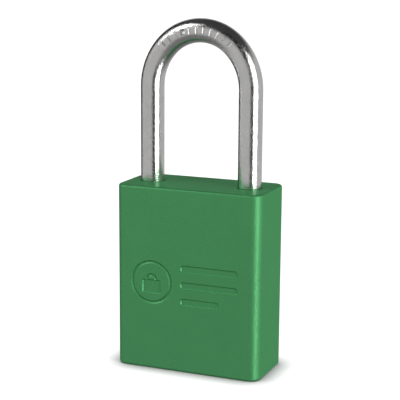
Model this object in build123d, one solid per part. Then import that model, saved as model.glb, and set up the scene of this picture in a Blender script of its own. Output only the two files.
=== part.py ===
"""Safety padlock with an aluminium body, a steel shackle and a five-pin key cylinder.

Millimetres. The origin is the middle of the base, +Z up, the emblem faces -Y and the toe leg of the
shackle is on +X. The lock is drawn closed with its plug turned to open, so that the locking balls are
in and the shackle can lift.
"""
from build123d import *
import math
import os

# Body
BODY_WIDTH = 38.1
BODY_DEPTH = 18.3
BODY_HEIGHT = 46.3
CORNER_RADIUS = 2.8
RIM_FILLET = 0.6

# Shackle
ROD_DIAMETER = 5.9
LEG_CLEAR_WIDTH = 20.1
LEG_CLEAR_HEIGHT = 34.8
ARCH_TOP_RADIUS = 12.3
ARCH_SIDE_TURN = 45.0
TOE_INSERTION = 12.5
HEEL_INSERTION = 26.0
LEG_END_CHAMFER = 0.7
LEG_CLEARANCE = 0.08
BORE_MOUTH_CHAMFER = 0.25
LIFT_PAST_TOE = 0.7

# Locking balls and the cam that drives them
BALL_DIAMETER = 6.35
BALL_DEPTH_BELOW_TOP = 8.5
BALL_CLEARANCE = 0.075
BALL_BITE = 1.675
HEEL_BALL_HOLD = 0.475
TOE_BALL_RETREAT = 0.125
NOTCH_CLEARANCE = 0.125
CAM_CLEARANCE = 0.05
CAM_BAND_MARGIN = 0.25
CAM_TOP_CAP = 0.5
CAM_STEPS = 8
ACTUATOR_BORE_CLEARANCE = 0.1
ACTUATOR_HEADROOM = 0.2

# Cylinder shell and plug
CYLINDER_RECESS = 0.2
PLUG_RADIUS = 5.5
PLUG_CLEARANCE = 0.05
BARREL_WALL = 0.95
SHELL_LENGTH = 22.4
SHELL_CLEARANCE = 0.05
CHAMBER_RIB_WIDTH = 6.4
RIB_ROUNDING = 1.1
FLANGE_LIP = 0.4
FLANGE_THICKNESS = 1.0
FLANGE_CLEARANCE = 0.05
PLUG_END_LENGTH = 1.35
TAIL_LENGTH = 2.5
TAIL_WIDTH = 2.0
TAIL_SLOT_WALL = 1.6
TAIL_CLEARANCE = 0.1
END_PLAY = 0.05

# Clip that keeps the plug in the shell
CLIP_THICKNESS = 0.6
CLIP_GROOVE_DEPTH = 0.8
CLIP_OVERLAP = 0.6
CLIP_GAP = 6.0
CLIP_PLAY = 0.05

# Keyway
KEYWAY_WIDTH = 1.9
KEYWAY_TOP = 3.2
KEYWAY_WARD_TOP = 0.3
KEYWAY_WARD_BOTTOM = -1.6
KEYWAY_BOTTOM = -4.4
KEYWAY_WARD_SHIFT = 0.6

# Pin stacks
FIRST_PIN_HEIGHT = 4.2
PIN_PITCH = 3.1
PIN_DIAMETER = 2.9
CHAMBER_DIAMETER = 3.0
CHAMBER_FLOOR = -0.6
KEY_PIN_LENGTHS = (3.6, 4.8, 3.2, 4.4, 4.0)
KEY_PIN_POINT = 0.8
PIN_EDGE_CHAMFER = 0.3
SHEAR_GAP = 0.02
KEY_PIN_SINK = 0.14
DRIVER_LENGTH = 3.6
PIN_SPRING_ROOM = 5.1
PIN_SPRING_WIRE = 0.3
PIN_SPRING_DIAMETER = 2.5
PIN_SPRING_TURNS = 7
PIN_SPRING_END_GAP = 0.03
COVER_THICKNESS = 1.0
COVER_WIDTH = 4.0
COVER_END_MARGIN = 1.0

# Screw that holds the shell in the body
SCREW_SHANK_RADIUS = 1.22
SCREW_HOLE_RADIUS = 1.25
SCREW_WEB_HOLE_RADIUS = 1.4
SCREW_HEAD_RADIUS = 2.3
SCREW_HEAD_HEIGHT = 1.8
SCREW_SLOT_WIDTH = 0.7
SCREW_SLOT_DEPTH = 0.8
SCREW_WEB = 5.6
SCREW_TIP_DEPTH = 3.0
SCREW_HOLE_EXTRA = 0.2

# Spring under the heel leg
HEEL_FLOOR = 3.0
SHACKLE_SPRING_WIRE = 0.7
SHACKLE_SPRING_DIAMETER = 5.6
SHACKLE_SPRING_TURNS = 9
SHACKLE_SPRING_END_GAP = 0.05

# Engraved emblem on the front: a ring with a padlock in it, and three plain bars
ENGRAVING_DEPTH = 0.3
EMBLEM_HEIGHT = 22.3
EMBLEM_RING_X = -9.2
EMBLEM_RING_RADIUS = 5.6
EMBLEM_RING_LINE = 0.9
PICTOGRAM_WIDTH = 5.0
PICTOGRAM_HEIGHT = 3.6
PICTOGRAM_DROP = 1.1
PICTOGRAM_LOOP_RADIUS = 1.6
PICTOGRAM_LOOP_LINE = 0.8
PICTOGRAM_ROUNDING = 0.6
BAR_START = -1.4
BAR_LENGTHS = (15.0, 15.0, 10.2)
BAR_THICKNESS = 1.8
BAR_PITCH = 4.2
BAR_ROUNDING = 0.8

# How far a cut runs past the face it opens
CUT_PAST = 1.0

# Worked out from the values above
ROD_RADIUS = ROD_DIAMETER / 2
LEG_X = (LEG_CLEAR_WIDTH + ROD_DIAMETER) / 2
SIDE_TURN = math.radians(ARCH_SIDE_TURN)
ARCH_SIDE_RADIUS = (LEG_X - ARCH_TOP_RADIUS * math.cos(SIDE_TURN)) / (1 - math.cos(SIDE_TURN))
ARCH_RISE = ARCH_TOP_RADIUS + (ARCH_SIDE_RADIUS - ARCH_TOP_RADIUS) * math.sin(SIDE_TURN)
ARCH_Z = BODY_HEIGHT + LEG_CLEAR_HEIGHT + ROD_RADIUS - ARCH_RISE
LEG_BORE_RADIUS = ROD_RADIUS + LEG_CLEARANCE
TOE_END_Z = BODY_HEIGHT - TOE_INSERTION
HEEL_END_Z = BODY_HEIGHT - HEEL_INSERTION
LIFT = TOE_INSERTION + LIFT_PAST_TOE

BALL_RADIUS = BALL_DIAMETER / 2
BALL_Z = BODY_HEIGHT - BALL_DEPTH_BELOW_TOP
LEG_INNER_X = LEG_CLEAR_WIDTH / 2
BALL_LOCKED_X = LEG_INNER_X + BALL_BITE - BALL_RADIUS
TOE_BALL_OPEN_X = LEG_INNER_X - TOE_BALL_RETREAT - BALL_RADIUS
HEEL_BALL_OPEN_X = LEG_INNER_X + HEEL_BALL_HOLD - BALL_RADIUS
CROSS_BORE_RADIUS = BALL_RADIUS + BALL_CLEARANCE

BARREL_RADIUS = PLUG_RADIUS + PLUG_CLEARANCE + BARREL_WALL
FLANGE_RADIUS = PLUG_RADIUS + FLANGE_LIP
CLIP_GROOVE_RADIUS = PLUG_RADIUS - CLIP_GROOVE_DEPTH
CLIP_OUTER_RADIUS = PLUG_RADIUS + CLIP_OVERLAP
SHELL_TOP = CYLINDER_RECESS + SHELL_LENGTH
PLUG_TOP = SHELL_TOP + PLUG_END_LENGTH
ACTUATOR_BOTTOM = PLUG_TOP + END_PLAY
ACTUATOR_RADIUS = BALL_LOCKED_X - BALL_RADIUS - CAM_CLEARANCE / 2
ACTUATOR_BORE_RADIUS = ACTUATOR_RADIUS + ACTUATOR_BORE_CLEARANCE
TAIL_HALF_SPAN = min(ACTUATOR_RADIUS, PLUG_RADIUS) - TAIL_CLEARANCE - TAIL_SLOT_WALL
CAM_BAND_HALF = BALL_RADIUS + CAM_BAND_MARGIN
ACTUATOR_TOP = BALL_Z + CAM_BAND_HALF + CAM_TOP_CAP
ACTUATOR_BORE_TOP = ACTUATOR_TOP + ACTUATOR_HEADROOM

PIN_RADIUS = PIN_DIAMETER / 2
CHAMBER_RADIUS = CHAMBER_DIAMETER / 2
PIN_COUNT = len(KEY_PIN_LENGTHS)
PIN_HEIGHTS = [FIRST_PIN_HEIGHT + PIN_PITCH * index for index in range(PIN_COUNT)]
KEY_PIN_TOP = PLUG_RADIUS - KEY_PIN_SINK
DRIVER_BOTTOM = PLUG_RADIUS + SHEAR_GAP
DRIVER_TOP = DRIVER_BOTTOM + DRIVER_LENGTH
COVER_X = DRIVER_TOP + PIN_SPRING_ROOM
RIB_END_X = COVER_X + COVER_THICKNESS

SCREW_SEAT_Z = SHELL_TOP + SHELL_CLEARANCE + SCREW_WEB
SCREW_TIP_Z = SHELL_TOP - SCREW_TIP_DEPTH


def cylinder_z(radius, bottom, top, x=0.0):
    """A round bar along Z between two heights."""
    middle = (bottom + top) / 2
    return Pos(x, 0, middle) * Cylinder(radius, top - bottom)


def cylinder_x(radius, start, end, z):
    """A round bar along X between two places."""
    middle = (start + end) / 2
    return Pos(middle, 0, z) * Rot(0, 90, 0) * Cylinder(radius, end - start)


def block(x_range, y_range, z_range):
    """A box between two corners, given as three pairs."""
    sizes = [high - low for low, high in (x_range, y_range, z_range)]
    middles = [(high + low) / 2 for low, high in (x_range, y_range, z_range)]
    return Pos(*middles) * Box(*sizes)


def coil_spring(diameter, wire, length, turns):
    """A round-wire compression spring along Z that starts at height 0."""
    radius = (diameter - wire) / 2
    height = length - wire
    path = Helix(pitch=height / turns, height=height, radius=radius)
    section = Plane(origin=path @ 0, z_dir=path % 0) * Circle(wire / 2)
    spring = sweep(section, path=path, is_frenet=True)
    return Pos(0, 0, wire / 2) * spring


def engraving_outline():
    """The emblem in the plane of the front face, X across and Y up."""
    ring = Circle(EMBLEM_RING_RADIUS) - Circle(EMBLEM_RING_RADIUS - EMBLEM_RING_LINE)
    case = Pos(0, -PICTOGRAM_DROP) * RectangleRounded(PICTOGRAM_WIDTH, PICTOGRAM_HEIGHT, PICTOGRAM_ROUNDING)
    loop = Circle(PICTOGRAM_LOOP_RADIUS) - Circle(PICTOGRAM_LOOP_RADIUS - PICTOGRAM_LOOP_LINE)
    loop_y = PICTOGRAM_HEIGHT / 2 - PICTOGRAM_DROP
    half_loop = Rectangle(2 * PICTOGRAM_LOOP_RADIUS, PICTOGRAM_LOOP_RADIUS)
    upper_half = Pos(0, PICTOGRAM_LOOP_RADIUS / 2) * half_loop
    outline = Pos(EMBLEM_RING_X, EMBLEM_HEIGHT) * (ring + case + Pos(0, loop_y) * (loop & upper_half))
    for row, length in enumerate(BAR_LENGTHS):
        bar_y = EMBLEM_HEIGHT + BAR_PITCH * ((len(BAR_LENGTHS) - 1) / 2 - row)
        bar = RectangleRounded(length, BAR_THICKNESS, BAR_ROUNDING)
        outline += Pos(BAR_START + length / 2, bar_y) * bar
    return outline


def cam_half(open_x):
    """Half of the cam's section, with its hollow on +X, for a ball whose open place is given.

    The ball moves by equal steps for equal angles, so each flank is the curve that stays one ball
    radius and a clearance inside a spiral.
    """
    offset = BALL_RADIUS + CAM_CLEARANCE
    quarter = math.pi / 2
    slope = (BALL_LOCKED_X - open_x) / quarter
    upper = []
    for step in range(CAM_STEPS + 1):
        angle = quarter * step / CAM_STEPS
        reach = open_x + slope * angle
        along = Vector(math.cos(angle), math.sin(angle))
        across = Vector(-math.sin(angle), math.cos(angle))
        normal = (along * reach - across * slope).normalized()
        upper.append(along * reach - normal * offset)
    lower = [Vector(point.X, -point.Y) for point in upper]
    floor = Vector(open_x - offset, 0)
    edges = [
        ThreePointArc(lower[0], floor, upper[0]),
        Spline(upper),
        Line(upper[-1], lower[-1]),
        Spline(lower),
    ]
    half_plane = Pos(ACTUATOR_RADIUS / 2, 0) * Rectangle(ACTUATOR_RADIUS, 2 * ACTUATOR_RADIUS)
    return make_face(edges) & half_plane


def cam_outline():
    """The cam's section at ball height, its toe hollow on +X and its shallower heel hollow on -X."""
    return cam_half(TOE_BALL_OPEN_X) + Rot(0, 0, 180) * cam_half(HEEL_BALL_OPEN_X)


def lock_body():
    """The solid block with every bore that the lock needs."""
    outline = RectangleRounded(BODY_WIDTH, BODY_DEPTH, CORNER_RADIUS)
    body = extrude(outline, BODY_HEIGHT)
    rims = body.faces().sort_by(Axis.Z)[-1].edges() + body.faces().sort_by(Axis.Z)[0].edges()
    body = fillet(rims, RIM_FILLET)
    bore_top = BODY_HEIGHT + CUT_PAST
    half_pocket = CHAMBER_RIB_WIDTH / 2 + SHELL_CLEARANCE
    pocket_end = RIB_END_X + SHELL_CLEARANCE
    pocket = block((0, pocket_end), (-half_pocket, half_pocket), (-CUT_PAST, SHELL_TOP + SHELL_CLEARANCE))
    pocket_corners = pocket.edges().filter_by(Axis.Z).sort_by(Axis.X)[-2:]
    cuts = [
        cylinder_z(LEG_BORE_RADIUS, SCREW_SEAT_Z, bore_top, LEG_X),
        cylinder_z(LEG_BORE_RADIUS, HEEL_FLOOR, bore_top, -LEG_X),
        cylinder_z(SCREW_WEB_HOLE_RADIUS, SHELL_TOP, SCREW_SEAT_Z + CUT_PAST, LEG_X),
        cylinder_x(CROSS_BORE_RADIUS, -LEG_X, LEG_X, BALL_Z),
        cylinder_z(ACTUATOR_BORE_RADIUS, PLUG_TOP, ACTUATOR_BORE_TOP),
        cylinder_z(BARREL_RADIUS + SHELL_CLEARANCE, -CUT_PAST, PLUG_TOP),
        fillet(pocket_corners, RIB_ROUNDING + SHELL_CLEARANCE),
    ]
    for leg_x in (LEG_X, -LEG_X):
        mouth = Cone(LEG_BORE_RADIUS, LEG_BORE_RADIUS + BORE_MOUTH_CHAMFER, BORE_MOUTH_CHAMFER)
        cuts.append(Pos(leg_x, 0, BODY_HEIGHT - BORE_MOUTH_CHAMFER / 2) * mouth)
    front = Plane(origin=(0, -BODY_DEPTH / 2, 0), x_dir=(1, 0, 0), z_dir=(0, -1, 0))
    cuts.append(extrude(front * engraving_outline(), -ENGRAVING_DEPTH))
    return body - cuts


def shackle():
    """The bent rod with its two ball notches and the groove that stops it at full lift.

    The arch is a little taller than a half circle: a tighter arc over the top between two wider ones.
    """
    heel = Line((-LEG_X, HEEL_END_Z), (-LEG_X, ARCH_Z))
    bends = [JernArc(heel @ 1, heel % 1, ARCH_SIDE_RADIUS, -ARCH_SIDE_TURN)]
    turns = ((ARCH_TOP_RADIUS, 180 - 2 * ARCH_SIDE_TURN), (ARCH_SIDE_RADIUS, ARCH_SIDE_TURN))
    for radius, turn in turns:
        bends.append(JernArc(bends[-1] @ 1, bends[-1] % 1, radius, -turn))
    toe = Line(bends[-1] @ 1, (LEG_X, TOE_END_Z))
    section = Plane(origin=heel @ 0, z_dir=heel % 0) * Circle(ROD_RADIUS)
    rod = Rot(90, 0, 0) * sweep(section, path=Wire([heel, *bends, toe]))
    circles = rod.edges().filter_by(GeomType.CIRCLE)
    end_rims = [edge for edge in circles if edge.center().Z < TOE_END_Z + ROD_RADIUS]
    rod = chamfer(end_rims, LEG_END_CHAMFER)
    notch_radius = BALL_RADIUS + NOTCH_CLEARANCE
    channel_radius = BALL_RADIUS + BALL_CLEARANCE
    notch = Rot(90, 0, 0) * Cylinder(notch_radius, 2 * ROD_DIAMETER)
    stop_z = BALL_Z - LIFT
    groove_section = Plane.XZ * Pos(LEG_X - HEEL_BALL_OPEN_X, 0) * Circle(channel_radius)
    groove = Pos(-LEG_X, 0, stop_z) * revolve(groove_section, axis=Axis.Z)
    cuts = [
        Pos(BALL_LOCKED_X, 0, BALL_Z) * notch,
        Pos(-BALL_LOCKED_X, 0, BALL_Z) * notch,
        cylinder_z(channel_radius, stop_z, BALL_Z, -HEEL_BALL_OPEN_X),
        groove,
    ]
    return rod - cuts


def locking_ball(x):
    """One ball at its open place."""
    return Pos(x, 0, BALL_Z) * Sphere(BALL_RADIUS)


def actuator():
    """The round cam over the plug, with a slot that takes the plug's tail."""
    band_bottom = BALL_Z - CAM_BAND_HALF
    band_top = BALL_Z + CAM_BAND_HALF
    lower = cylinder_z(ACTUATOR_RADIUS, ACTUATOR_BOTTOM, band_bottom)
    upper = cylinder_z(ACTUATOR_RADIUS, band_top, ACTUATOR_TOP)
    cam = extrude(cam_outline(), band_top - band_bottom, dir=(0, 0, 1))
    band = Pos(0, 0, band_bottom) * cam
    slot_half = TAIL_WIDTH / 2 + TAIL_CLEARANCE
    slot_reach = TAIL_HALF_SPAN + TAIL_CLEARANCE
    slot_top = PLUG_TOP + TAIL_LENGTH + TAIL_CLEARANCE
    slot = block((-slot_half, slot_half), (-slot_reach, slot_reach), (ACTUATOR_BOTTOM - CUT_PAST, slot_top))
    return lower + band + upper - slot


def cylinder_shell():
    """The brass housing: a barrel for the plug and a rib that holds the five chambers."""
    barrel = cylinder_z(BARREL_RADIUS, CYLINDER_RECESS, SHELL_TOP)
    half_rib = CHAMBER_RIB_WIDTH / 2
    rib = block((0, RIB_END_X), (-half_rib, half_rib), (CYLINDER_RECESS, SHELL_TOP))
    rib = fillet(rib.edges().filter_by(Axis.Z).sort_by(Axis.X)[-2:], RIB_ROUNDING)
    flange_room = FLANGE_RADIUS + FLANGE_CLEARANCE
    flange_seat = CYLINDER_RECESS + FLANGE_THICKNESS + FLANGE_CLEARANCE
    cuts = [
        cylinder_z(PLUG_RADIUS + PLUG_CLEARANCE, CYLINDER_RECESS - CUT_PAST, SHELL_TOP + CUT_PAST),
        cylinder_z(flange_room, CYLINDER_RECESS - CUT_PAST, flange_seat),
        cylinder_z(SCREW_HOLE_RADIUS, SCREW_TIP_Z - SCREW_HOLE_EXTRA, SHELL_TOP + CUT_PAST, LEG_X),
        cover_strip(),
    ]
    for height in PIN_HEIGHTS:
        cuts.append(cylinder_x(CHAMBER_RADIUS, 0, COVER_X, height))
    return barrel + rib - cuts


def cover_strip():
    """The strip that closes the outer ends of the chambers."""
    bottom = PIN_HEIGHTS[0] - CHAMBER_RADIUS - COVER_END_MARGIN
    top = PIN_HEIGHTS[-1] + CHAMBER_RADIUS + COVER_END_MARGIN
    return block((COVER_X, RIB_END_X), (-COVER_WIDTH / 2, COVER_WIDTH / 2), (bottom, top))


def keyway():
    """The slot for the key, stepped sideways in the middle by one ward."""
    half = KEYWAY_WIDTH / 2
    bottom = CYLINDER_RECESS - CUT_PAST
    top = SHELL_TOP
    upper = block((-half, half), (KEYWAY_WARD_TOP, KEYWAY_TOP), (bottom, top))
    shifted = (KEYWAY_WARD_SHIFT - half, KEYWAY_WARD_SHIFT + half)
    middle = block(shifted, (KEYWAY_WARD_BOTTOM, KEYWAY_WARD_TOP), (bottom, top))
    lower = block((-half, half), (KEYWAY_BOTTOM, KEYWAY_WARD_BOTTOM), (bottom, top))
    return upper + middle + lower


def plug():
    """The plug, drawn turned to open: its chambers point along +Y and meet the shell's at home."""
    core = cylinder_z(PLUG_RADIUS, CYLINDER_RECESS, PLUG_TOP)
    flange = cylinder_z(FLANGE_RADIUS, CYLINDER_RECESS, CYLINDER_RECESS + FLANGE_THICKNESS)
    half_tail = TAIL_WIDTH / 2
    tail_height = (PLUG_TOP, PLUG_TOP + TAIL_LENGTH)
    tail = block((-half_tail, half_tail), (-TAIL_HALF_SPAN, TAIL_HALF_SPAN), tail_height)
    groove_bottom = SHELL_TOP + CLIP_PLAY
    groove_top = groove_bottom + CLIP_THICKNESS + CLIP_PLAY
    groove = cylinder_z(PLUG_RADIUS + CUT_PAST, groove_bottom, groove_top)
    groove -= cylinder_z(CLIP_GROOVE_RADIUS, groove_bottom, groove_top)
    cuts = [keyway(), groove]
    for height in PIN_HEIGHTS:
        chamber = cylinder_x(CHAMBER_RADIUS, CHAMBER_FLOOR, PLUG_RADIUS + CUT_PAST, height)
        cuts.append(Rot(0, 0, 90) * chamber)
    return core + flange + tail - cuts


def plug_clip():
    """The open ring that sits in the plug's groove, behind the shell."""
    bottom = SHELL_TOP + CLIP_PLAY
    top = bottom + CLIP_THICKNESS
    inner = CLIP_GROOVE_RADIUS + CLIP_PLAY
    ring = cylinder_z(CLIP_OUTER_RADIUS, bottom, top) - cylinder_z(inner, bottom, top)
    gap_height = (bottom - CUT_PAST, top + CUT_PAST)
    gap = block((-CLIP_GAP / 2, CLIP_GAP / 2), (-2 * CLIP_OUTER_RADIUS, 0), gap_height)
    return ring - gap


def key_pin(height, length):
    """One bottom pin, its blunt point toward the keyway, in the turned plug."""
    pin = Cylinder(PIN_RADIUS, length)
    pin = chamfer(pin.edges().sort_by(Axis.Z)[0], KEY_PIN_POINT)
    pin = chamfer(pin.edges().sort_by(Axis.Z)[-1], PIN_EDGE_CHAMFER)
    return Pos(0, KEY_PIN_TOP - length / 2, height) * Rot(-90, 0, 0) * pin


def driver_pin(height):
    """One top pin, resting on the turned plug."""
    pin = Cylinder(PIN_RADIUS, DRIVER_LENGTH)
    pin = chamfer(pin.edges().filter_by(GeomType.CIRCLE), PIN_EDGE_CHAMFER)
    return Pos(DRIVER_BOTTOM + DRIVER_LENGTH / 2, 0, height) * Rot(0, 90, 0) * pin


def pin_spring(height):
    """The spring between one top pin and the cover strip."""
    length = PIN_SPRING_ROOM - 2 * PIN_SPRING_END_GAP
    spring = coil_spring(PIN_SPRING_DIAMETER, PIN_SPRING_WIRE, length, PIN_SPRING_TURNS)
    return Pos(DRIVER_TOP + PIN_SPRING_END_GAP, 0, height) * Rot(0, 90, 0) * spring


def retaining_screw():
    """The slotted screw from the toe hole's floor into the shell."""
    head_top = SCREW_SEAT_Z + SCREW_HEAD_HEIGHT
    head = cylinder_z(SCREW_HEAD_RADIUS, SCREW_SEAT_Z, head_top, LEG_X)
    shank = cylinder_z(SCREW_SHANK_RADIUS, SCREW_TIP_Z, SCREW_SEAT_Z, LEG_X)
    half_slot = SCREW_SLOT_WIDTH / 2
    slot = block(
        (LEG_X - SCREW_HEAD_RADIUS, LEG_X + SCREW_HEAD_RADIUS),
        (-half_slot, half_slot),
        (head_top - SCREW_SLOT_DEPTH, head_top + CUT_PAST),
    )
    return head + shank - slot


def shackle_spring():
    """The spring between the heel hole's floor and the heel leg."""
    length = HEEL_END_Z - HEEL_FLOOR - 2 * SHACKLE_SPRING_END_GAP
    spring = coil_spring(SHACKLE_SPRING_DIAMETER, SHACKLE_SPRING_WIRE, length, SHACKLE_SPRING_TURNS)
    return Pos(-LEG_X, 0, HEEL_FLOOR + SHACKLE_SPRING_END_GAP) * spring


def all_pieces():
    """Every piece of the lock by its name."""
    pieces = {
        "lock_body": lock_body(),
        "shackle": shackle(),
        "toe_ball": locking_ball(TOE_BALL_OPEN_X),
        "heel_ball": locking_ball(-HEEL_BALL_OPEN_X),
        "actuator": actuator(),
        "cylinder_shell": cylinder_shell(),
        "plug": plug(),
        "plug_clip": plug_clip(),
        "pin_chamber_cover": cover_strip(),
        "retaining_screw": retaining_screw(),
        "shackle_spring": shackle_spring(),
    }
    for index, height in enumerate(PIN_HEIGHTS):
        number = index + 1
        pieces[f"key_pin_{number}"] = key_pin(height, KEY_PIN_LENGTHS[index])
        pieces[f"driver_pin_{number}"] = driver_pin(height)
        pieces[f"pin_spring_{number}"] = pin_spring(height)
    return pieces


def main():
    """Write one STEP file per piece."""
    os.makedirs("parts", exist_ok=True)
    for name, piece in all_pieces().items():
        export_step(piece, f"parts/{name}.step")


main()
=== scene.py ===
"""Looks of a safety padlock: anodised body, bent steel shackle and brass key cylinder.

Every size is in metres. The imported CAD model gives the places, and the pieces built here stand for
its outside: the body block and the shackle rod. The other CAD pieces stay and get their finishes.
"""

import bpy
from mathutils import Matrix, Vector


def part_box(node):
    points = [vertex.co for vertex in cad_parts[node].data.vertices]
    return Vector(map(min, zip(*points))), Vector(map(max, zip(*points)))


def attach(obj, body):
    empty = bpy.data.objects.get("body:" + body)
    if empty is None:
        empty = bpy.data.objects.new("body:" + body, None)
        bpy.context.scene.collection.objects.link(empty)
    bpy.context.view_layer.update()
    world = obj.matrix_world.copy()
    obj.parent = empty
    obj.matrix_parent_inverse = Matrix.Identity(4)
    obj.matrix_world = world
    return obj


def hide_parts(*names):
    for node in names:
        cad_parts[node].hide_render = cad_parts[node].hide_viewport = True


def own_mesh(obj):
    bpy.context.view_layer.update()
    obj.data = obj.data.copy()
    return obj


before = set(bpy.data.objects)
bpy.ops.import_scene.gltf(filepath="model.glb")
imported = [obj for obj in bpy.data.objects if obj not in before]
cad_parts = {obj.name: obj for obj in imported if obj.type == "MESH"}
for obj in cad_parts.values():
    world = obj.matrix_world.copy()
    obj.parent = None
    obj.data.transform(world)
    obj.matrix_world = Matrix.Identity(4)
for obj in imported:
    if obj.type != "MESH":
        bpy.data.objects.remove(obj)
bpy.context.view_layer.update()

import logging
import math
from collections.abc import Callable, Sequence
from dataclasses import dataclass, field
from enum import Enum

import bpy
from mathutils import Quaternion, Vector

log = logging.getLogger("padlock")

MM = 0.001
Point = tuple[float, float, float]


# ---------------------------------------------------------------- the bench: tools for mesh work


def deselect_all() -> None:
    """Leave nothing selected and no object active."""
    for thing in bpy.context.selected_objects:
        thing.select_set(False)
    bpy.context.view_layer.objects.active = None


def pick(thing: bpy.types.Object) -> None:
    """Make one object the only selected and the active one."""
    deselect_all()
    thing.select_set(True)
    bpy.context.view_layer.objects.active = thing


def settle(thing: bpy.types.Object) -> None:
    """Write an object's place, turn and size into its mesh."""
    pick(thing)
    bpy.ops.object.transform_apply(location=True, rotation=True, scale=True)


def add_block(name: str, low: Sequence[float], high: Sequence[float]) -> bpy.types.Object:
    """Add a box between two corners.

    Args:
        name: The new object's name.
        low: Its lowest corner.
        high: Its highest corner.

    Returns:
        The object, with its place in its mesh.
    """
    deselect_all()
    middle = [(a + b) / 2 for a, b in zip(low, high)]
    bpy.ops.mesh.primitive_cube_add(size=1, location=middle)
    block = bpy.context.active_object
    block.name = name
    block.scale = [b - a for a, b in zip(low, high)]
    settle(block)
    return block


def add_bar(name: str, radius: float, start: Point, end: Point, sides: int = 96) -> bpy.types.Object:
    """Add a round bar between two points.

    Args:
        name: The new object's name.
        radius: The bar's radius.
        start: The middle of its first end.
        end: The middle of its second end.
        sides: How many flats make its round.

    Returns:
        The object, with its place in its mesh.
    """
    deselect_all()
    along = Vector(end) - Vector(start)
    turn = along.to_track_quat("Z", "Y").to_euler()
    middle = (Vector(start) + Vector(end)) / 2
    bpy.ops.mesh.primitive_cylinder_add(
        vertices=sides, radius=radius, depth=along.length, location=middle, rotation=turn
    )
    bar = bpy.context.active_object
    bar.name = name
    settle(bar)
    return bar


def select_edges(thing: bpy.types.Object, wanted: Callable[[Vector, Vector], bool]) -> None:
    """Select the edges whose two ends pass a test, and nothing else.

    Args:
        thing: A mesh object in object mode.
        wanted: The test, given the places of an edge's two ends.
    """
    mesh = thing.data
    for group in (mesh.vertices, mesh.edges, mesh.polygons):
        for item in group:
            item.select = False
    for edge in mesh.edges:
        first, second = (mesh.vertices[index].co for index in edge.vertices)
        edge.select = wanted(first, second)


def select_faces(thing: bpy.types.Object, wanted: Callable[[bpy.types.MeshPolygon], bool]) -> None:
    """Select the faces that pass a test, and nothing else.

    Args:
        thing: A mesh object in object mode.
        wanted: The test, given a face.
    """
    mesh = thing.data
    for group in (mesh.vertices, mesh.edges):
        for item in group:
            item.select = False
    for face in mesh.polygons:
        face.select = wanted(face)


def edit(thing: bpy.types.Object, mode: str, work: Callable[[], object]) -> None:
    """Run mesh operators on what is selected.

    Args:
        thing: The mesh object.
        mode: EDGE or FACE, what the selection is made of.
        work: The call that runs the operators.
    """
    pick(thing)
    bpy.ops.object.mode_set(mode="EDIT")
    bpy.ops.mesh.select_mode(type=mode)
    work()
    bpy.ops.object.mode_set(mode="OBJECT")


def cut(target: bpy.types.Object, cutters: Sequence[bpy.types.Object]) -> None:
    """Take the cutters' space out of a target and throw the cutters away.

    Args:
        target: The piece that is cut.
        cutters: Closed meshes.
    """
    for cutter in cutters:
        pick(target)
        tool = target.modifiers.new("cut", "BOOLEAN")
        tool.operation = "DIFFERENCE"
        tool.solver = "EXACT"
        tool.object = cutter
        bpy.ops.object.modifier_apply(modifier=tool.name)
        bpy.data.objects.remove(cutter, do_unlink=True)


def finish_surface(thing: bpy.types.Object, angle: float = 35.0) -> None:
    """Clean a piece's mesh and give it smooth rounds, crisp edges and flat flats.

    Args:
        thing: The piece.
        angle: Edges that turn more than this many degrees stay crisp.
    """
    def clean() -> None:
        """Merge doubled points and point every face outwards."""
        bpy.ops.mesh.select_all(action="SELECT")
        bpy.ops.mesh.remove_doubles(threshold=0.5e-6)
        bpy.ops.mesh.dissolve_degenerate(threshold=0.5e-6)
        bpy.ops.mesh.normals_make_consistent(inside=False)

    edit(thing, "FACE", clean)
    pick(thing)
    bpy.ops.object.shade_smooth_by_angle(angle=math.radians(angle), keep_sharp_edges=True)
    weights = thing.modifiers.new("weights", "WEIGHTED_NORMAL")
    weights.keep_sharp = True
    weights.weight = 80
    bpy.ops.object.modifier_apply(modifier=weights.name)


# ---------------------------------------------------------------- finishes


def linear(hex_colour: str) -> tuple[float, float, float, float]:
    """Turn an sRGB hex colour such as "4f8a5c" into the linear RGBA that shaders take."""
    channels = [int(hex_colour[i : i + 2], 16) / 255 for i in (0, 2, 4)]
    bent = [c / 12.92 if c <= 0.04045 else ((c + 0.055) / 1.055) ** 2.4 for c in channels]
    return (*bent, 1.0)


def add_node(
    tree: bpy.types.NodeTree,
    kind: str,
    settings: dict[str, object] | None = None,
    values: dict[str, object] | None = None,
    links: dict[str, bpy.types.NodeSocket] | None = None,
) -> bpy.types.Node:
    """Add a shader node with its settings, its socket values and its incoming links.

    Args:
        tree: The node tree.
        kind: The node's type name.
        settings: Attributes of the node.
        values: Input sockets, by name, and their values.
        links: Input sockets, by name, and the outputs that feed them.

    Returns:
        The new node.
    """
    node = tree.nodes.new(kind)
    for name, value in (settings or {}).items():
        setattr(node, name, value)
    for name, value in (values or {}).items():
        node.inputs[name].default_value = value
    for name, source in (links or {}).items():
        tree.links.new(source, node.inputs[name])
    return node


def per_metre(size_mm: float) -> float:
    """A noise scale whose grains are about this many millimetres across."""
    return 1 / (size_mm * MM)


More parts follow.
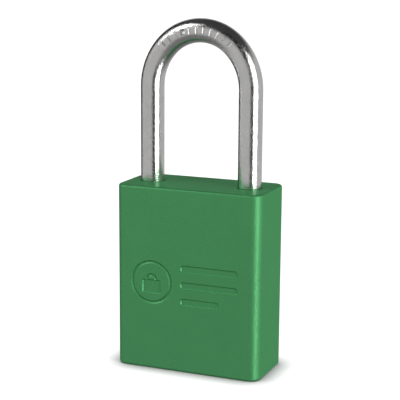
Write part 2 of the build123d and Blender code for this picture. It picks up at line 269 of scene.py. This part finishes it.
@dataclass(frozen=True)
class Finish:
    """A metal finish: two close tones broken up by a fine grain, with the grain in gloss and relief.

    Attributes:
        name: The material's name.
        tone: The main colour, sRGB hex.
        second_tone: The colour it drifts towards, sRGB hex.
        metallic: How metallic the surface is.
        roughness: The middle roughness.
        roughness_spread: How far roughness strays either way.
        grain_mm: The size of the fine grain.
        mottle_mm: The size of the slow colour drift.
        relief: Strength of the grain's bump.
        relief_mm: The grain's height.
        stretch: How the grain is drawn out along X, Y and Z.
        edge_tint: The tint of what is seen at a flat angle, sRGB hex.
        coat: Weight of a clear skin, such as sealed oxide.
        coat_roughness: Roughness of that skin.
    """

    name: str
    tone: str
    second_tone: str
    metallic: float = 1.0
    roughness: float = 0.3
    roughness_spread: float = 0.06
    grain_mm: float = 0.3
    mottle_mm: float = 6.0
    relief: float = 0.2
    relief_mm: float = 0.01
    stretch: Point = (1.0, 1.0, 1.0)
    edge_tint: str = "ffffff"
    coat: float = 0.0
    coat_roughness: float = 0.3

    def make(self) -> bpy.types.Material:
        """Build the node material."""
        material = bpy.data.materials.new(self.name)
        material.use_nodes = True
        tree = material.node_tree
        tree.nodes.clear()
        place = add_node(tree, "ShaderNodeTexCoord")
        drawn = add_node(
            tree, "ShaderNodeMapping", values={"Scale": self.stretch}, links={"Vector": place.outputs["Object"]}
        )
        grain = add_node(
            tree,
            "ShaderNodeTexNoise",
            values={"Scale": per_metre(self.grain_mm), "Detail": 3.0, "Roughness": 0.6},
            links={"Vector": drawn.outputs["Vector"]},
        )
        mottle = add_node(
            tree,
            "ShaderNodeTexNoise",
            values={"Scale": per_metre(self.mottle_mm), "Detail": 4.0, "Roughness": 0.55},
            links={"Vector": place.outputs["Object"]},
        )
        mix = add_node(
            tree, "ShaderNodeMath", {"operation": "MULTIPLY"}, links={0: mottle.outputs["Fac"], 1: grain.outputs["Fac"]}
        )
        colour = add_node(tree, "ShaderNodeValToRGB", links={"Fac": mix.outputs["Value"]})
        colour.color_ramp.elements[0].position = 0.12
        colour.color_ramp.elements[0].color = linear(self.second_tone)
        colour.color_ramp.elements[1].position = 0.4
        colour.color_ramp.elements[1].color = linear(self.tone)
        rough = add_node(
            tree,
            "ShaderNodeMapRange",
            values={
                "From Min": 0.3,
                "From Max": 0.7,
                "To Min": self.roughness - self.roughness_spread,
                "To Max": self.roughness + self.roughness_spread,
            },
            links={"Value": grain.outputs["Fac"]},
        )
        bump = add_node(
            tree,
            "ShaderNodeBump",
            values={"Strength": self.relief, "Distance": self.relief_mm * MM},
            links={"Height": grain.outputs["Fac"]},
        )
        surface = add_node(
            tree,
            "ShaderNodeBsdfPrincipled",
            values={
                "Metallic": self.metallic,
                "Specular Tint": linear(self.edge_tint),
                "Coat Weight": self.coat,
                "Coat Roughness": self.coat_roughness,
            },
            links={
                "Base Color": colour.outputs["Color"],
                "Roughness": rough.outputs["Result"],
                "Normal": bump.outputs["Normal"],
            },
        )
        add_node(tree, "ShaderNodeOutputMaterial", links={"Surface": surface.outputs["BSDF"]})
        return material


# Extruded aluminium, dyed and sealed by anodising: an even satin green with a soft metallic sheen.
ANODISED = Finish(
    "anodised_aluminium_satin_green", "5eb275", "5aad71", metallic=1.0, roughness=0.62,
    roughness_spread=0.1, grain_mm=0.35, mottle_mm=9.0, relief=1.0, relief_mm=0.05, edge_tint="90e8a8",
    coat=0.25, coat_roughness=0.36,
)
# Boron steel rod, ground, hardened and nickel plated: bright bands broken by a fine peened grain.
PLATED_STEEL = Finish(
    "hardened_steel_rod_nickel_plated", "dddcdb", "cfcecd", roughness=0.18,
    roughness_spread=0.08, grain_mm=0.42, mottle_mm=3.0, relief=1.0, relief_mm=0.06,
)
# Bearing steel, through hardened and lapped: close to a mirror.
LAPPED_STEEL = Finish(
    "bearing_steel_lapped", "c9cacc", "b9babc", roughness=0.1, roughness_spread=0.02,
    grain_mm=0.2, mottle_mm=2.0, relief=0.1,
)
# Sintered steel of the cam: dull grey with an open grain.
SINTERED_STEEL = Finish(
    "sintered_steel", "8d8b88", "767470", roughness=0.5, roughness_spread=0.08,
    grain_mm=0.12, mottle_mm=1.5, relief=0.5, relief_mm=0.015,
)
# Free-cutting brass, turned and milled: warm, with fine tool lines round the axis.
TURNED_BRASS = Finish(
    "free_cutting_brass_turned", "c9a561", "b48f4d", roughness=0.28, roughness_spread=0.07,
    grain_mm=0.12, mottle_mm=3.0, relief=0.3, relief_mm=0.008, stretch=(1.0, 1.0, 6.0),
)
# Nickel silver of the top pins: turned, paler and harder than brass.
NICKEL_SILVER = Finish(
    "nickel_silver_turned", "bdb6a6", "a8a192", roughness=0.25, roughness_spread=0.05,
    grain_mm=0.12, mottle_mm=1.5, relief=0.2,
)
# Music wire, cold drawn and zinc flashed: grey with lines along the wire.
DRAWN_WIRE = Finish(
    "music_wire_drawn", "9c9da0", "85868a", roughness=0.32, roughness_spread=0.06,
    grain_mm=0.1, mottle_mm=1.0, relief=0.2,
)

CAD_FINISHES: dict[Finish, tuple[str, ...]] = {
    LAPPED_STEEL: ("toe_ball", "heel_ball", "retaining_screw"),
    SINTERED_STEEL: ("actuator",),
    TURNED_BRASS: ("cylinder_shell", "plug", "pin_chamber_cover", "key_pin"),
    NICKEL_SILVER: ("driver_pin",),
    DRAWN_WIRE: ("plug_clip", "shackle_spring", "pin_spring"),
}


def dress(thing: bpy.types.Object, material: bpy.types.Material) -> None:
    """Give an object one material all over."""
    thing.data.materials.clear()
    thing.data.materials.append(material)


# ---------------------------------------------------------------- the pieces


@dataclass
class Shackle:
    """The bent rod: a long heel leg, an arch of three arcs and a short toe leg.

    Attributes:
        top_radius: Radius of the arc over the top, at the rod's middle.
        side_turn: How far each wider side arc turns, in degrees.
        toe_depth: How deep the toe leg goes into the body.
        end_chamfer: Chamfer of both leg ends.
        sides: Flats round the rod.
        arc_steps: Rings along each arc.
        lift: How far the shackle rises when it opens.
        locked_x: Where the balls are from the middle when the lock is locked.
        channel_clearance: Gap round the heel ball in its channel and groove.
        notch_clearance: Gap round the balls in their notches.
        tick_count: Number of strokes struck in the arch.
        tick_start: Angle of the first stroke from the top, in degrees.
        tick_pitch: Angle from stroke to stroke, in degrees.
        tick_length: Length of a long stroke.
        tick_radius: Radius of the punch that strikes them.
        tick_depth: Depth of a stroke.
        tick_rise: How far outside the rod's middle line the strokes lie.
    """

    top_radius: float = 12.3 * MM
    side_turn: float = 45.0
    toe_depth: float = 12.5 * MM
    end_chamfer: float = 0.7 * MM
    sides: int = 80
    arc_steps: int = 30
    lift: float = 13.2 * MM
    locked_x: float = 8.55 * MM
    channel_clearance: float = 0.075 * MM
    notch_clearance: float = 0.125 * MM
    tick_count: int = 11
    tick_start: float = -44.0
    tick_pitch: float = 8.6
    tick_length: float = 1.9 * MM
    tick_radius: float = 0.3 * MM
    tick_depth: float = 0.24 * MM
    tick_rise: float = 0.25 * MM
    low: Vector = field(default_factory=lambda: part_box("shackle")[0])
    high: Vector = field(default_factory=lambda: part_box("shackle")[1])

    @property
    def radius(self) -> float:
        """The rod's radius."""
        return (self.high.y - self.low.y) / 2

    @property
    def leg_x(self) -> float:
        """How far each leg's middle is from the lock's middle."""
        return self.high.x - self.radius

    @property
    def side_radius(self) -> float:
        """Radius of the two side arcs, so that the three arcs meet smoothly."""
        cosine = math.cos(math.radians(self.side_turn))
        return (self.leg_x - self.top_radius * cosine) / (1 - cosine)

    @property
    def arch_z(self) -> float:
        """Height where the straight legs end."""
        sine = math.sin(math.radians(self.side_turn))
        rise = self.top_radius + (self.side_radius - self.top_radius) * sine
        return self.high.z - self.radius - rise

    @property
    def top_centre_z(self) -> float:
        """Height of the middle of the arc over the top."""
        return self.high.z - self.radius - self.top_radius

    def build(self, body_top: float) -> bpy.types.Object:
        """Model the rod.

        Args:
            body_top: Height of the body's top face.

        Returns:
            The finished rod.
        """
        rod = add_bar(
            "shackle_rod",
            self.radius,
            (-self.leg_x, 0, self.low.z),
            (-self.leg_x, 0, self.arch_z),
            self.sides,
        )
        top_of_leg = self.arch_z - 1e-6
        select_faces(rod, lambda face: face.center.z > top_of_leg)
        edit(rod, "FACE", lambda: self.bend(body_top - self.toe_depth))
        toe_end = body_top - self.toe_depth

        def is_end(first: Vector, second: Vector) -> bool:
            """True for the rim edges of both leg ends."""
            level = abs(first.z - second.z) < 1e-7
            heel = first.x < 0 and first.z < self.low.z + 1e-6
            toe = first.x > 0 and first.z < toe_end + 1e-6
            return level and (heel or toe)

        select_edges(rod, is_end)
        edit(rod, "EDGE", lambda: bpy.ops.mesh.bevel(offset=self.end_chamfer, segments=1, affect="EDGES"))
        cut(rod, self.ball_cutters() + self.tick_cutters())
        return rod

    def ball_cutters(self) -> list[bpy.types.Object]:
        """The notch in each leg, and the channel and groove of the leg that stays in."""
        low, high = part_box("heel_ball")
        ball = (high.z - low.z) / 2
        ball_z = (high.z + low.z) / 2
        open_x = (high.x + low.x) / 2
        across = 2 * self.radius
        channel = ball + self.channel_clearance
        stop_z = ball_z - self.lift
        deselect_all()
        bpy.ops.mesh.primitive_torus_add(
            location=(-self.leg_x, 0, stop_z),
            major_radius=open_x + self.leg_x,
            minor_radius=channel,
            major_segments=72,
            minor_segments=48,
        )
        groove = bpy.context.active_object
        cutters = [groove, add_bar("channel", channel, (open_x, 0, stop_z), (open_x, 0, ball_z), 64)]
        for x in (self.locked_x, -self.locked_x):
            notch = add_bar("notch", ball + self.notch_clearance, (x, -across, ball_z), (x, across, ball_z), 64)
            cutters.append(notch)
        return cutters

    def tick_cutters(self) -> list[bpy.types.Object]:
        """Short plain strokes, struck across the front of the arch."""
        cutters = []
        middle = self.low.y + self.tick_depth - self.tick_radius
        for number in range(self.tick_count):
            lean = math.radians(self.tick_start + self.tick_pitch * number)
            half = self.tick_length / 2 * (1.0 if number % 3 else 0.7)
            tick = add_bar(f"tick_{number}", self.tick_radius, (0, middle, -half), (0, middle, half), 20)
            reach = self.top_radius + self.tick_rise
            tick.location = (reach * math.sin(lean), 0, self.top_centre_z + reach * math.cos(lean))
            tick.rotation_euler = (0, lean, 0)
            settle(tick)
            cutters.append(tick)
        return cutters

    def bend(self, toe_end: float) -> None:
        """Spin and extrude the selected end face along the arch and down the toe leg.

        Args:
            toe_end: Height of the toe leg's end.
        """
        side_x = self.side_radius - self.leg_x
        turns = (
            (self.side_turn, (side_x, 0, self.arch_z)),
            (180 - 2 * self.side_turn, (0, 0, self.top_centre_z)),
            (self.side_turn, (-side_x, 0, self.arch_z)),
        )
        for turn, centre in turns:
            bpy.ops.mesh.spin(
                steps=self.arc_steps, angle=-math.radians(turn), center=centre, axis=(0, 1, 0)
            )
        bpy.ops.mesh.extrude_region_move(
            TRANSFORM_OT_translate={"value": (0, 0, toe_end - self.arch_z)}
        )


@dataclass
class Body:
    """The block with its bores, its engraved emblem and the pocket for the key cylinder.

    Attributes:
        corner: Radius of the four upright edges.
        rim: Radius of the edges round the top and the base.
        corner_steps: Flats in each upright edge.
        rim_steps: Flats in each rim.
        leg_clearance: Gap between a leg and its bore.
        mouth: Chamfer at the mouth of each leg bore.
        fit_clearance: Gap round the key cylinder.
        cam_clearance: Gap round the cam.
        ball_clearance: Gap round the locking balls.
        web_clearance: Gap round the screw's shank.
    """

    corner: float = 2.8 * MM
    rim: float = 0.6 * MM
    corner_steps: int = 20
    rim_steps: int = 4
    leg_clearance: float = 0.08 * MM
    mouth: float = 0.25 * MM
    fit_clearance: float = 0.05 * MM
    cam_clearance: float = 0.1 * MM
    cam_headroom: float = 0.2 * MM
    ball_clearance: float = 0.075 * MM
    web_radius: float = 1.4 * MM
    heel_floor: float = 3.0 * MM
    low: Vector = field(default_factory=lambda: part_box("lock_body")[0])
    high: Vector = field(default_factory=lambda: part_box("lock_body")[1])

    def build(self, shackle: Shackle) -> bpy.types.Object:
        """Model the block.

        Args:
            shackle: The rod that its leg bores take.

        Returns:
            The block, not yet engraved.
        """
        block = add_block("body_block", self.low, self.high)
        select_edges(block, lambda a, b: abs(a.z - b.z) > self.corner)
        edit(
            block,
            "EDGE",
            lambda: bpy.ops.mesh.bevel(offset=self.corner, segments=self.corner_steps, affect="EDGES"),
        )

        def on_rim(first: Vector, second: Vector) -> bool:
            """True for the edges round the top and the base."""
            level = abs(first.z - second.z) < 1e-7
            return level and (first.z > self.high.z - 1e-6 or first.z < self.low.z + 1e-6)

        select_edges(block, on_rim)
        edit(
            block,
            "EDGE",
            lambda: bpy.ops.mesh.bevel(offset=self.rim, segments=self.rim_steps, affect="EDGES"),
        )
        cut(block, self.leg_cutters(shackle) + self.lock_cutters(shackle))
        return block

    def engrave(self, block: bpy.types.Object, emblem: "Emblem") -> None:
        """Cut the emblem into the front and round its upper edges.

        Args:
            block: The finished block.
            emblem: What is cut.
        """
        cut(block, emblem.cutters(self.low.y))
        front = self.low.y + 1e-6
        reach = self.high.x - self.corner - 0.1 * MM
        low, high = emblem.height - 2 * emblem.ring_radius, emblem.height + 2 * emblem.ring_radius

        def on_groove(first: Vector, second: Vector) -> bool:
            """True for the edges where the emblem meets the front face."""
            flat = first.y < front and second.y < front
            return flat and all(abs(end.x) < reach and low < end.z < high for end in (first, second))

        select_edges(block, on_groove)
        edit(
            block,
            "EDGE",
            lambda: bpy.ops.mesh.bevel(offset=emblem.rounding, segments=2, affect="EDGES", clamp_overlap=True),
        )

    def leg_cutters(self, shackle: Shackle) -> list[bpy.types.Object]:
        """The two leg bores, flared at their mouths."""
        radius = shackle.radius + self.leg_clearance
        floors = {shackle.leg_x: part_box("retaining_screw")[1].z, -shackle.leg_x: self.heel_floor}
        head_low = self.screw_seat()
        floors[shackle.leg_x] = head_low
        cutters = []
        for x, floor in floors.items():
            bore = add_bar(f"bore_{x:.3f}", radius, (x, 0, floor), (x, 0, self.high.z - self.mouth), 96)
            top = self.high.z - self.mouth - 1e-6
            select_faces(bore, lambda face: face.center.z > top)

            def flare(x: float = x) -> None:
                """Open the bore's mouth and carry it out through the top."""
                bpy.ops.mesh.extrude_region_move(TRANSFORM_OT_translate={"value": (0, 0, self.mouth)})
                scale = (radius + self.mouth) / radius
                bpy.ops.transform.resize(
                    value=(scale, scale, 1), center_override=(x, 0, self.high.z)
                )
                bpy.ops.mesh.extrude_region_move(TRANSFORM_OT_translate={"value": (0, 0, MM)})

            edit(bore, "FACE", flare)
            cutters.append(bore)
        return cutters

    def screw_seat(self) -> float:
        """Height of the floor of the toe bore, where the screw's head sits."""
        head_height = 1.8 * MM
        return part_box("retaining_screw")[1].z - head_height

    def lock_cutters(self, shackle: Shackle) -> list[bpy.types.Object]:
        """The bores for the balls, the cam, the key cylinder and its screw."""
        ball_low, ball_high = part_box("toe_ball")
        ball_z = (ball_low.z + ball_high.z) / 2
        ball_radius = (ball_high.z - ball_low.z) / 2 + self.ball_clearance
        cam_low, cam_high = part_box("actuator")
        shell_low, shell_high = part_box("cylinder_shell")
        barrel = shell_high.y + self.fit_clearance
        below = self.low.z - MM
        rib_half = 3.2 * MM + self.fit_clearance
        rib = add_block(
            "rib_pocket",
            (0, -rib_half, below),
            (shell_high.x + self.fit_clearance, rib_half, shell_high.z + self.fit_clearance),
        )
        select_edges(rib, lambda a, b: abs(a.z - b.z) > MM and a.x > MM)
        edit(
            rib,
            "EDGE",
            lambda: bpy.ops.mesh.bevel(offset=1.15 * MM, segments=8, affect="EDGES"),
        )
        leg_x = shackle.leg_x
        return [
            add_bar("cross_bore", ball_radius, (-leg_x, 0, ball_z), (leg_x, 0, ball_z)),
            add_bar(
                "cam_bore",
                cam_high.x + self.cam_clearance,
                (0, 0, shell_high.z),
                (0, 0, cam_high.z + self.cam_headroom),
            ),
            add_bar("barrel_bore", barrel, (0, 0, below), (0, 0, cam_low.z - self.fit_clearance), 128),
            rib,
            add_bar(
                "screw_bore",
                self.web_radius,
                (leg_x, 0, shell_high.z),
                (leg_x, 0, self.screw_seat() + MM),
                48,
            ),
        ]


@dataclass
class Emblem:
    """What is cut into the front: a ring round a plain padlock sign, and three plain bars.

    Attributes:
        height: Height of its middle.
        depth: How deep it is cut.
        slope: How far its walls lean in towards the bottom.
        rounding: Radius of its upper edges.
        ring_x: Middle of the ring.
        ring_radius: Outer radius of the ring.
        ring_line: Width of the ring's line.
        sign_width: Width of the sign's case.
        sign_height: Height of the sign's case.
        sign_drop: How far the case's middle lies below the ring's.
        loop_radius: Outer radius of the sign's loop.
        loop_line: Width of the loop's line.
        bar_start: Left end of the bars.
        bar_lengths: Lengths of the bars, from the top.
        bar_thickness: Height of each bar.
        bar_pitch: From bar to bar.
    """

    height: float = 22.3 * MM
    depth: float = 0.3 * MM
    slope: float = 0.26 * MM
    rounding: float = 0.06 * MM
    ring_x: float = -9.2 * MM
    ring_radius: float = 5.6 * MM
    ring_line: float = 0.9 * MM
    sign_width: float = 5.0 * MM
    sign_height: float = 3.6 * MM
    sign_drop: float = 1.1 * MM
    loop_radius: float = 1.6 * MM
    loop_line: float = 0.8 * MM
    bar_start: float = -1.4 * MM
    bar_lengths: tuple[float, ...] = (15.0 * MM, 15.0 * MM, 10.2 * MM)
    bar_thickness: float = 1.8 * MM
    bar_pitch: float = 4.2 * MM

    def cutters(self, front: float) -> list[bpy.types.Object]:
        """The shapes that cut the emblem.

        Args:
            front: Where the front face lies along Y.
        """
        shapes = [self.ring("ring", self.ring_radius, self.ring_line, self.height, front)]
        case_z = self.height - self.sign_drop
        shapes.append(self.plate("sign_case", self.ring_x, case_z, self.sign_width, self.sign_height, 0.55 * MM, front))
        loop_z = case_z + self.sign_height / 2
        shapes.append(self.ring("sign_loop", self.loop_radius, self.loop_line, loop_z, front))
        for row, length in enumerate(self.bar_lengths):
            z = self.height + self.bar_pitch * ((len(self.bar_lengths) - 1) / 2 - row)
            middle = self.bar_start + length / 2
            rounding = 0.44 * self.bar_thickness
            shapes.append(self.plate(f"bar_{row}", middle, z, length, self.bar_thickness, rounding, front))
        return shapes

    def ring(self, name: str, radius: float, line: float, z: float, front: float) -> bpy.types.Object:
        """A ring of diamond section, which leaves a groove with leaning walls in the front."""
        deselect_all()
        bpy.ops.mesh.primitive_torus_add(
            location=(self.ring_x, front, z),
            rotation=(math.pi / 2, 0, 0),
            major_radius=radius - line / 2,
            minor_radius=line / 2,
            major_segments=96,
            minor_segments=4,
        )
        ring = bpy.context.active_object
        ring.name = name
        ring.scale.z = 2 * self.depth / line
        settle(ring)
        return ring

    def plate(
        self, name: str, x: float, z: float, width: float, height: float, rounding: float, front: float
    ) -> bpy.types.Object:
        """A plate with rounded corners that reaches from outside the front to the emblem's depth."""
        low = (x - width / 2, front - MM, z - height / 2)
        high = (x + width / 2, front + self.depth, z + height / 2)
        plate = add_block(name, low, high)
        select_edges(plate, lambda a, b: abs(a.y - b.y) > 0.5 * self.depth)
        edit(
            plate, "EDGE", lambda: bpy.ops.mesh.bevel(offset=rounding, segments=8, affect="EDGES")
        )
        bottom = front + self.depth - 1e-6
        select_edges(plate, lambda a, b: a.y > bottom and b.y > bottom)
        edit(plate, "EDGE", lambda: bpy.ops.mesh.bevel(offset=self.slope, segments=1, affect="EDGES"))
        return plate


# ---------------------------------------------------------------- stage, light and camera


@dataclass(frozen=True)
class Camera:
    """Where the camera stands, as a turn and a tilt about a point of the lock.

    Attributes:
        azimuth: Degrees round from the front towards the toe leg.
        elevation: Degrees above the horizon.
        roll: Degrees that the camera leans.
        distance: From the target point.
        target: The point in the middle of the view.
        lens: Focal length in millimetres on a 36 mm wide sensor.
    """

    azimuth: float = 22.56
    elevation: float = 11.39
    roll: float = 0.4
    distance: float = 301.35 * MM
    target: Point = (-0.09 * MM, 0.0, 42.16 * MM)
    lens: float = 109.04

    def build(self) -> None:
        """Add the camera and make it the scene's."""
        around, up = math.radians(self.azimuth), math.radians(self.elevation)
        back = Vector(
            (math.sin(around) * math.cos(up), -math.cos(around) * math.cos(up), math.sin(up))
        )
        data = bpy.data.cameras.new("camera")
        data.lens = self.lens
        data.sensor_width = 36.0
        data.clip_start = 0.01
        data.clip_end = 20.0
        camera = bpy.data.objects.new("camera", data)
        bpy.context.scene.collection.objects.link(camera)
        camera.location = Vector(self.target) + back * self.distance
        aim = (-back).to_track_quat("-Z", "Y")
        camera.rotation_mode = "QUATERNION"
        camera.rotation_quaternion = aim @ Quaternion((0, 0, 1), math.radians(self.roll))
        bpy.context.scene.camera = camera


@dataclass(frozen=True)
class Softbox:
    """A rectangular light that looks at the lock.

    Attributes:
        name: Its name.
        azimuth: Degrees round from the front towards the toe leg.
        elevation: Degrees above the horizon.
        distance: From the lock's middle.
        width: Its width.
        height: Its height.
        power: In watts.
    """

    name: str
    azimuth: float
    elevation: float
    distance: float
    width: float
    height: float
    power: float

    def build(self) -> None:
        """Add the light."""
        around, up = math.radians(self.azimuth), math.radians(self.elevation)
        away = Vector(
            (math.sin(around) * math.cos(up), -math.cos(around) * math.cos(up), math.sin(up))
        )
        data = bpy.data.lights.new(self.name, "AREA")
        data.shape = "RECTANGLE"
        data.size = self.width
        data.size_y = self.height
        data.energy = self.power
        light = bpy.data.objects.new(self.name, data)
        bpy.context.scene.collection.objects.link(light)
        light.location = Vector((0, 0, 0.04)) + away * self.distance
        light.rotation_euler = away.to_track_quat("Z", "Y").to_euler()
        light.visible_camera = False


SOFTBOXES = (
    Softbox("right_box", 66.5, 2.0, 0.9, 0.38, 1.3, 10.5),
    Softbox("upper_left_box", -55.0, 40.0, 0.9, 0.36, 0.4, 2.2),
)


def hide_from(thing: bpy.types.Object, *rays: str) -> None:
    """Hide a stage object from some kinds of rays, such as camera or glossy."""
    for ray in rays:
        setattr(thing, f"visible_{ray}", False)


def plain_material(name: str, colour: str, roughness: float, glow: float = 0.0) -> bpy.types.Material:
    """A plain stage material.

    Args:
        name: Its name.
        colour: Its colour, sRGB hex.
        roughness: Its roughness.
        glow: Light that it gives by itself, as a studio sweep lit from behind does.
    """
    material = bpy.data.materials.new(name)
    material.use_nodes = True
    surface = material.node_tree.nodes["Principled BSDF"]
    surface.inputs["Base Color"].default_value = linear(colour)
    surface.inputs["Roughness"].default_value = roughness
    surface.inputs["Specular IOR Level"].default_value = 0.0
    surface.inputs["Emission Color"].default_value = (1, 1, 1, 1)
    surface.inputs["Emission Strength"].default_value = glow
    return material


def paint_contact_shadow(paper: bpy.types.Material) -> None:
    """Paint a contact shadow into the sweep: its glow dies away close to what stands on it, and it is clear seen from
    below.

    Args:
        paper: The sweep's material.
    """
    tree = paper.node_tree
    surface = tree.nodes["Principled BSDF"]
    glow = surface.inputs["Emission Strength"].default_value
    # Painted contact shadow: ambient occlusion within 5 mm dims the sweep's glow next to the lock's base.
    contact_occlusion = add_node(tree, "ShaderNodeAmbientOcclusion", values={"Distance": 5 * MM})
    painted_shadow_fade = add_node(
        tree,
        "ShaderNodeMapRange",
        values={"From Min": 0.45, "From Max": 1.0, "To Min": 0.0, "To Max": glow},
        links={"Value": contact_occlusion.outputs["AO"]},
    )
    tree.links.new(painted_shadow_fade.outputs["Result"], surface.inputs["Emission Strength"])
    side = add_node(tree, "ShaderNodeNewGeometry")
    clear = add_node(tree, "ShaderNodeBsdfTransparent")
    seen = add_node(
        tree,
        "ShaderNodeMixShader",
        links={0: side.outputs["Backfacing"], 1: surface.outputs["BSDF"], 2: clear.outputs["BSDF"]},
    )
    tree.links.new(seen.outputs["Shader"], tree.nodes["Material Output"].inputs["Surface"])


@dataclass(frozen=True)
class Flag:
    """A dark flag that the metal can see and the camera cannot.

    Attributes:
        name: Its name.
        azimuth: Degrees round from the front towards the toe leg.
        elevation: Degrees above the horizon.
        distance: From the lock's middle.
        width: Its width.
        height: Its height.
        tone: Its colour, sRGB hex.
    """

    name: str
    azimuth: float
    elevation: float
    distance: float
    width: float
    height: float
    tone: str

    def build(self) -> None:
        """Stand the flag."""
        around, up = math.radians(self.azimuth), math.radians(self.elevation)
        away = Vector(
            (math.sin(around) * math.cos(up), -math.cos(around) * math.cos(up), math.sin(up))
        )
        deselect_all()
        bpy.ops.mesh.primitive_plane_add(
            size=1,
            location=Vector((0, 0, 0.04)) + away * self.distance,
            rotation=away.to_track_quat("Z", "Y").to_euler(),
        )
        flag = bpy.context.active_object
        flag.name = self.name
        flag.scale = (self.width, self.height, 1)
        settle(flag)
        dress(flag, plain_material(self.name + "_felt", self.tone, 1.0))
        hide_from(flag, "camera", "diffuse", "shadow")


FLAGS = (
    Flag("camera_side_flag", 36.5, -6.0, 0.9, 0.5, 0.6, "1c1c1c"),
    Flag("high_right_flag", 44.0, 38.0, 0.95, 0.78, 0.7, "0c0c0c"),
    Flag("back_left_flag", -116.0, 8.0, 0.9, 0.6, 1.2, "181818"),
)


# How grey the room is that the metal sees: the sine of the height above the horizon, and the grey.
ROOM_GREYS = ((-0.65, 0.22), (-0.4, 0.58), (0.4, 0.58), (0.65, 0.05))


def build_stage() -> None:
    """Add the pale floor and the room's light."""
    deselect_all()
    bpy.ops.mesh.primitive_plane_add(size=12.0, location=(0, 0, -0.02 * MM))
    floor = bpy.context.active_object
    floor.name = "floor"
    paper = plain_material("pale_paper_sweep", "a4a4a4", 0.9, glow=0.75)
    # The floor's glow carries a painted contact shadow round the lock's base.
    paint_contact_shadow(paper)
    dress(floor, paper)
    hide_from(floor, "glossy")

    world = bpy.data.worlds.new("studio")
    bpy.context.scene.world = world
    world.use_nodes = True
    tree = world.node_tree
    tree.nodes.clear()
    path = add_node(tree, "ShaderNodeLightPath")
    place = add_node(tree, "ShaderNodeTexCoord")
    height = add_node(tree, "ShaderNodeSeparateXYZ", links={"Vector": place.outputs["Generated"]})
    level = add_node(
        tree,
        "ShaderNodeMapRange",
        values={"From Min": -1.0, "From Max": 1.0, "To Min": 0.0, "To Max": 1.0},
        links={"Value": height.outputs["Z"]},
    )
    room = add_node(tree, "ShaderNodeValToRGB", links={"Fac": level.outputs["Result"]})
    stops = room.color_ramp.elements
    for place_in_room, grey in ROOM_GREYS:
        stop = stops.new((place_in_room + 1) / 2)
        stop.color = (grey, grey, grey, 1)
    stops.remove(stops[0])
    stops.remove(stops[-1])
    walls = add_node(tree, "ShaderNodeBackground", links={"Color": room.outputs["Color"]})
    soft = add_node(tree, "ShaderNodeBackground", values={"Strength": 0.9})
    white = add_node(tree, "ShaderNodeBackground", values={"Strength": 1.0})
    for background in (soft, white):
        background.inputs["Color"].default_value = (1, 1, 1, 1)
    lit = add_node(
        tree,
        "ShaderNodeMixShader",
        links={0: path.outputs["Is Diffuse Ray"], 1: walls.outputs["Background"], 2: soft.outputs["Background"]},
    )
    seen = add_node(
        tree,
        "ShaderNodeMixShader",
        links={0: path.outputs["Is Camera Ray"], 1: lit.outputs["Shader"], 2: white.outputs["Background"]},
    )
    add_node(tree, "ShaderNodeOutputWorld", links={"Surface": seen.outputs["Shader"]})
    bpy.context.scene.view_settings.view_transform = "Standard"


# ---------------------------------------------------------------- pin springs


@dataclass(frozen=True)
class PinSpring:
    """A spring behind a top pin, copied from its CAD coil; in the lock it shortens as the pin is pushed back, but this
    copy keeps its shape.

    Attributes:
        number: Which of the five chambers it is in.
        stroke: How far its pin goes back; not used.
    """

    number: int
    stroke: float = 2.0 * MM

    def build(self, material: bpy.types.Material) -> bpy.types.Object:
        """Copy the coil, join its seams, give it its finish and hang it on the case in place of the CAD coil.

        Args:
            material: The wire's finish.
        """
        node = f"pin_spring_{self.number}"
        deselect_all()
        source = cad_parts[node]
        coil = bpy.data.objects.new(f"pin_coil_{self.number}", source.data.copy())
        bpy.context.scene.collection.objects.link(coil)
        finish_surface(coil, 60.0)
        dress(coil, material)
        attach(coil, "case")
        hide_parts(node)
        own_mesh(coil)
        log.info("%s: %d faces", coil.name, len(coil.data.polygons))
        return coil


# ---------------------------------------------------------------- putting it together


def dress_cad_nodes() -> None:
    """Give every CAD piece that stays its own finish."""
    for finish, names in CAD_FINISHES.items():
        material = finish.make()
        for node_name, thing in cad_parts.items():
            if node_name.startswith(names):
                dress(thing, material)
                log.info("%s: %s", node_name, finish.name)


def main() -> None:
    """Build the lock, its stage and its light."""
    logging.basicConfig(level=logging.INFO, format="%(name)s %(message)s")
    Camera().build()
    build_stage()
    for helper in (*SOFTBOXES, *FLAGS):
        helper.build()

    shackle = Shackle()
    body = Body()
    rod = shackle.build(body.high.z)
    finish_surface(rod)
    plated = PLATED_STEEL.make()
    dress(rod, plated)
    dress(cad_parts["shackle"], plated)
    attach(rod, "shackle")
    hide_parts("shackle")
    log.info("%s: %d faces", rod.name, len(rod.data.polygons))

    block = body.build(shackle)
    body.engrave(block, Emblem())
    finish_surface(block)
    anodised = ANODISED.make()
    dress(block, anodised)
    dress(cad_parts["lock_body"], anodised)
    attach(block, "case")
    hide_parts("lock_body")
    log.info("%s: %d faces", block.name, len(block.data.polygons))

    dress_cad_nodes()
    wire = DRAWN_WIRE.make()
    for number in range(1, 6):
        PinSpring(number).build(wire)


if __name__ == "__main__":
    main()
